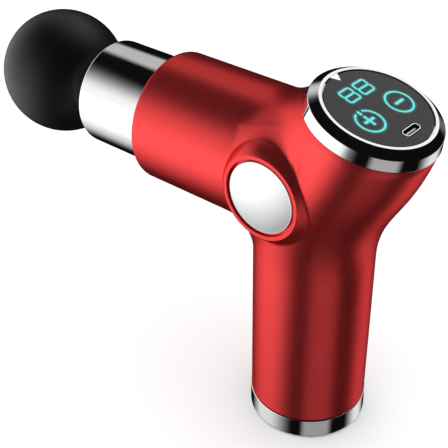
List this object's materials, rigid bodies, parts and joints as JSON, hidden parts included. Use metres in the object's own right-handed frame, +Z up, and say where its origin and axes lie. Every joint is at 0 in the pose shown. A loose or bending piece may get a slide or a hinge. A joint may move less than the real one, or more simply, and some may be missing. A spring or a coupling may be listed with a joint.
{
  "type": "massage gun",
  "caption": "Pocket massage gun with a ball head on a chrome sleeve, a round touch panel on a tilted rear limb and a straight handle with a flat foot.",
  "frame": {"origin": "centre of the flat pad under the handle, on the handle's axis", "axes": "+Z up along the handle, -X forward along the barrel towards the ball head, +X towards the touch panel, +Y to the user's right"},
  "size_m": [0.2047, 0.0564, 0.1505],
  "materials": {
    "red_anodised": "satin",
    "cap_satin": "satin",
    "sleeve_bright": "polished",
    "chrome": "polished",
    "ball_foam": "matte",
    "black_rubber": "matte",
    "panel_glass": "gloss",
    "black_plastic": "matte",
    "bush_plastic": "satin",
    "aluminium": "satin",
    "steel": "satin",
    "brass": "satin",
    "winding": "satin",
    "circuit_board": "satin",
    "display": "satin",
    "cell_can": "satin",
    "pack_wrap": "satin",
    "lead_red": "satin",
    "lead_black": "satin",
    "lead_yellow": "satin"
  },
  "bodies": {
    "housing": {"body_shell": "red_anodised", "side_cap_left": "cap_satin", "side_cap_right": "cap_satin", "front_sleeve": "sleeve_bright", "front_seal": "black_rubber", "piston_guide": "black_plastic", "piston_bush_front": "bush_plastic", "piston_bush_rear": "bush_plastic", "drive_frame": "black_plastic", "frame_screw_1": "steel", "frame_screw_2": "steel", "motor_base": "aluminium", "motor_screw_1": "steel", "motor_screw_2": "steel", "motor_bearing_inner": "steel", "motor_bearing_outer": "steel", "motor_stator": "winding", "panel_bezel": "chrome", "panel_glass": "panel_glass", "touch_sensor": "circuit_board", "display_module": "display", "display_frame": "black_plastic", "control_board": "circuit_board", "board_screw_1": "steel", "board_screw_2": "steel", "board_screw_3": "steel", "usb_port": "steel", "usb_tongue": "black_plastic", "battery_cell_1": "cell_can", "battery_cell_2": "cell_can", "battery_cell_3": "cell_can", "battery_wrap": "pack_wrap", "nickel_strip_bottom": "steel", "nickel_strip_top": "steel", "battery_spacer_bottom": "black_plastic", "battery_spacer_top": "black_plastic", "battery_board": "circuit_board", "battery_lead_red": "lead_red", "battery_lead_black": "lead_black", "motor_lead_1": "lead_yellow", "motor_lead_2": "lead_yellow", "motor_lead_3": "lead_yellow", "bottom_cap": "chrome", "base_pad": "black_rubber"},
    "crank": {"crank_disc": "steel", "crank_pin": "steel", "crank_bush": "brass", "motor_rotor": "steel", "motor_shaft": "steel"},
    "piston": {"piston": "aluminium"},
    "head": {"massage_ball": "ball_foam", "head_stem": "black_plastic", "stem_ring": "black_rubber"}
  },
  "joints": [
    {"name": "crank_turn", "type": "hinge", "parent": "housing", "child": "crank", "pos_m": [-0.0073, 0, 0.1106], "axis": [0, 1, 0], "range_deg": [0, 180]},
    {"name": "piston_stroke", "type": "slide", "parent": "housing", "child": "piston", "axis": [-1, 0, 0], "range_m": [0, 0.006]},
    {"name": "head_release", "type": "slide", "parent": "piston", "child": "head", "axis": [-1, 0, 0], "range_m": [0, 0.034]}
  ],
  "couplings": [
    {"joint": "crank_turn", "follows": "piston_stroke", "rad_per_m": 523.59}
  ]
}
